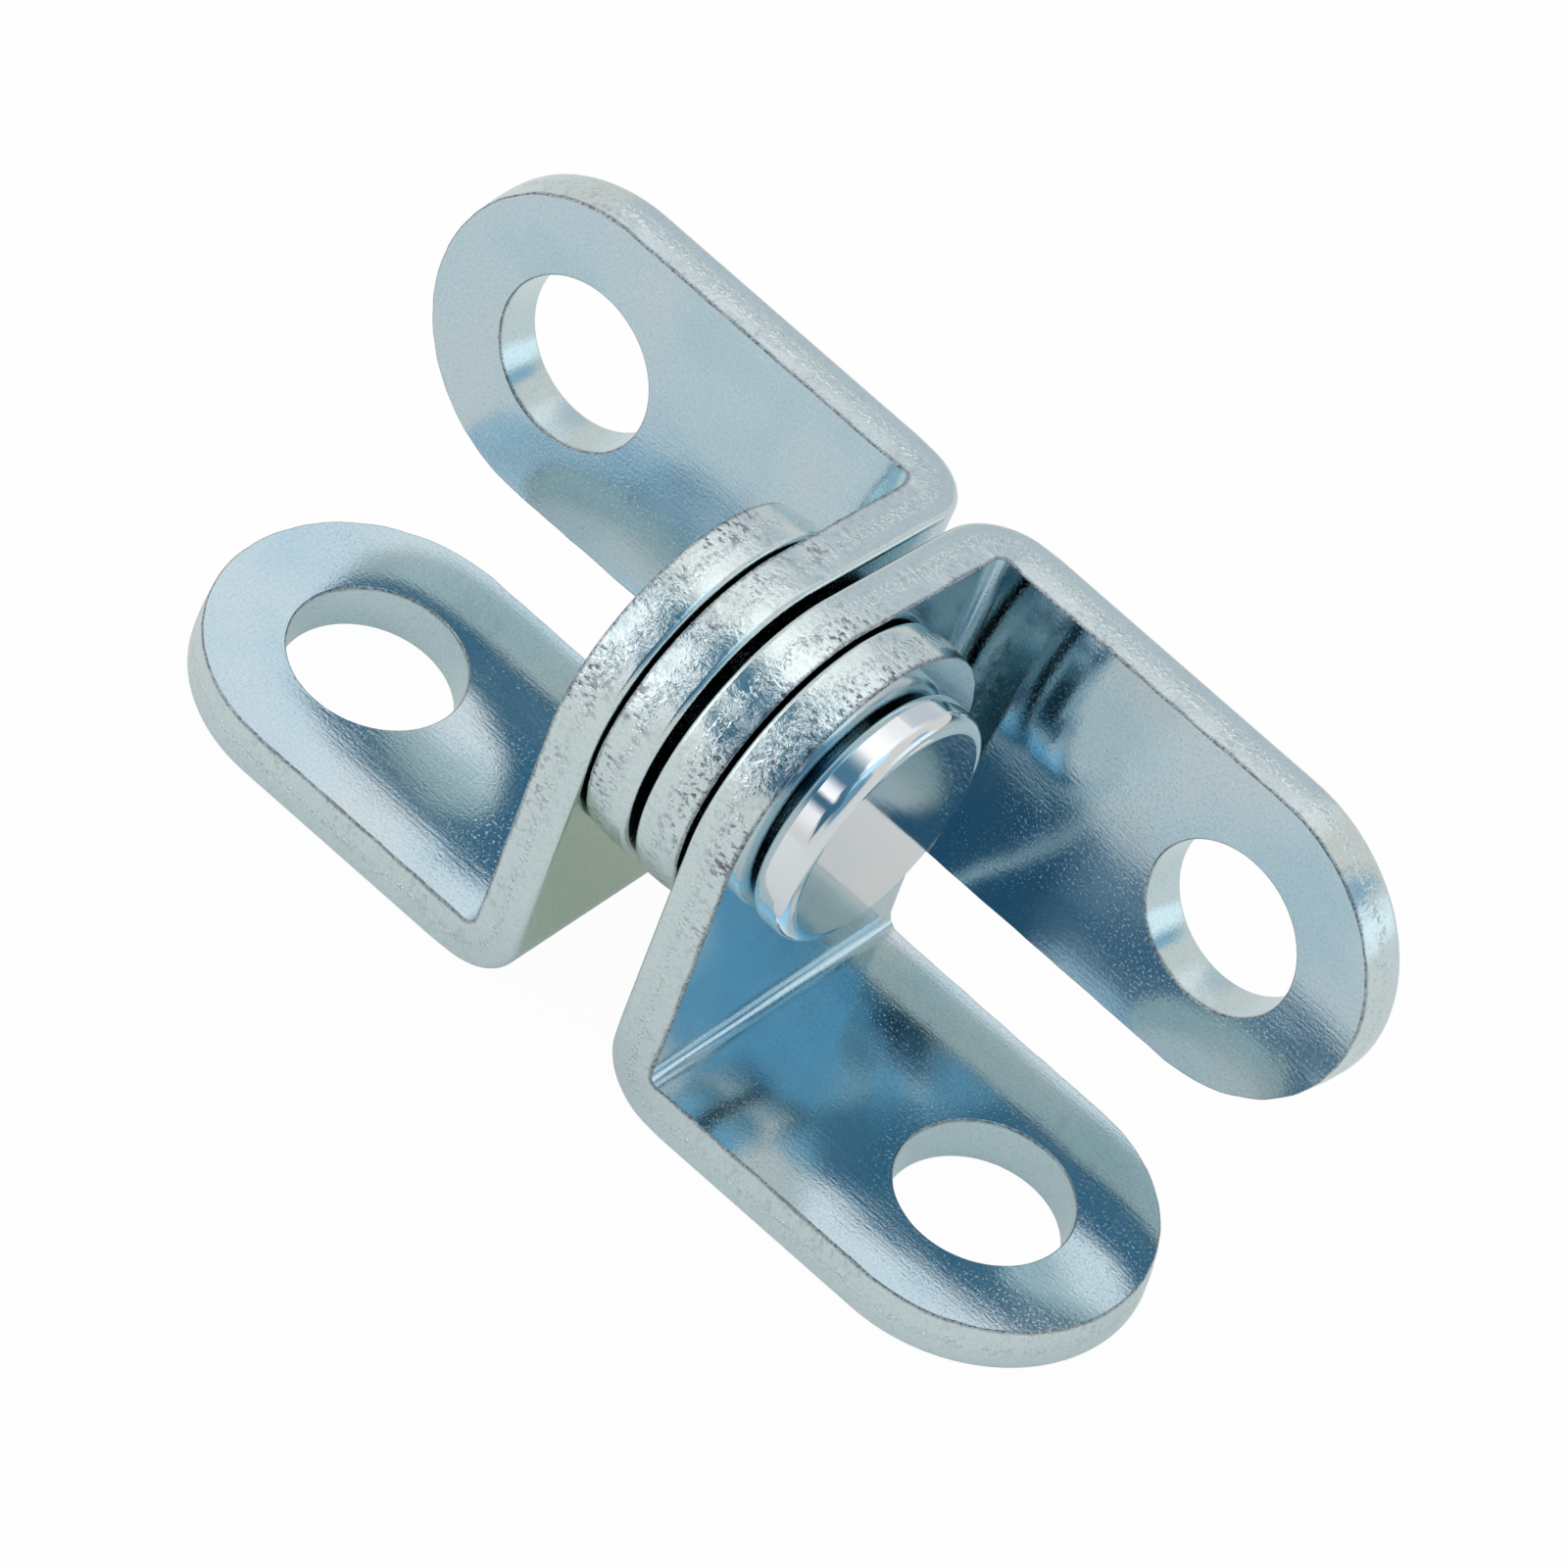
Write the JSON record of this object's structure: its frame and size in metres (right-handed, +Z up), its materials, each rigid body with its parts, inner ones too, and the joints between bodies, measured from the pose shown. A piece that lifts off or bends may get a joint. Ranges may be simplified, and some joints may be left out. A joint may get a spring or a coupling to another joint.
{
  "type": "corner hinge",
  "caption": "Small zinc-plated steel corner hinge: folded strip leaves with round ends and screw holes, nested back to back and turning on a common headed rivet.",
  "frame": {"origin": "midway between the screw holes of the two ground-side legs, on their outer faces, straight below the rivet", "axes": "+X along the rivet towards its flat head, +Y across it to the side of the wall-side legs, +Z up from the ground-side legs to the rivet"},
  "size_m": [0.0448, 0.017, 0.0194],
  "materials": {
    "zinc_plate": "blue-white zinc plate over punched and folded strip steel, satin",
    "polished_zinc": "blue-white zinc plate over a smooth turned rivet, polished"
  },
  "bodies": {
    "rear_ground": {"rear_outer_leaf": "zinc_plate", "rivet": "polished_zinc"},
    "rear_wall": {"rear_inner_leaf": "zinc_plate"},
    "front_ground": {"front_outer_leaf": "zinc_plate"},
    "front_wall": {"front_inner_leaf": "zinc_plate"}
  },
  "joints": [
    {"name": "rear_wall_turn", "type": "hinge", "parent": "rear_ground", "child": "rear_wall", "pos_m": [0, 0, 0.0129], "axis": [1, 0, 0], "range_deg": [-2, 196]},
    {"name": "front_ground_turn", "type": "hinge", "parent": "rear_ground", "child": "front_ground", "pos_m": [0, 0, 0.0129], "axis": [1, 0, 0], "continuous": true},
    {"name": "front_wall_turn", "type": "hinge", "parent": "front_ground", "child": "front_wall", "pos_m": [0, 0, 0.0129], "axis": [1, 0, 0], "range_deg": [-2, 196]}
  ]
}
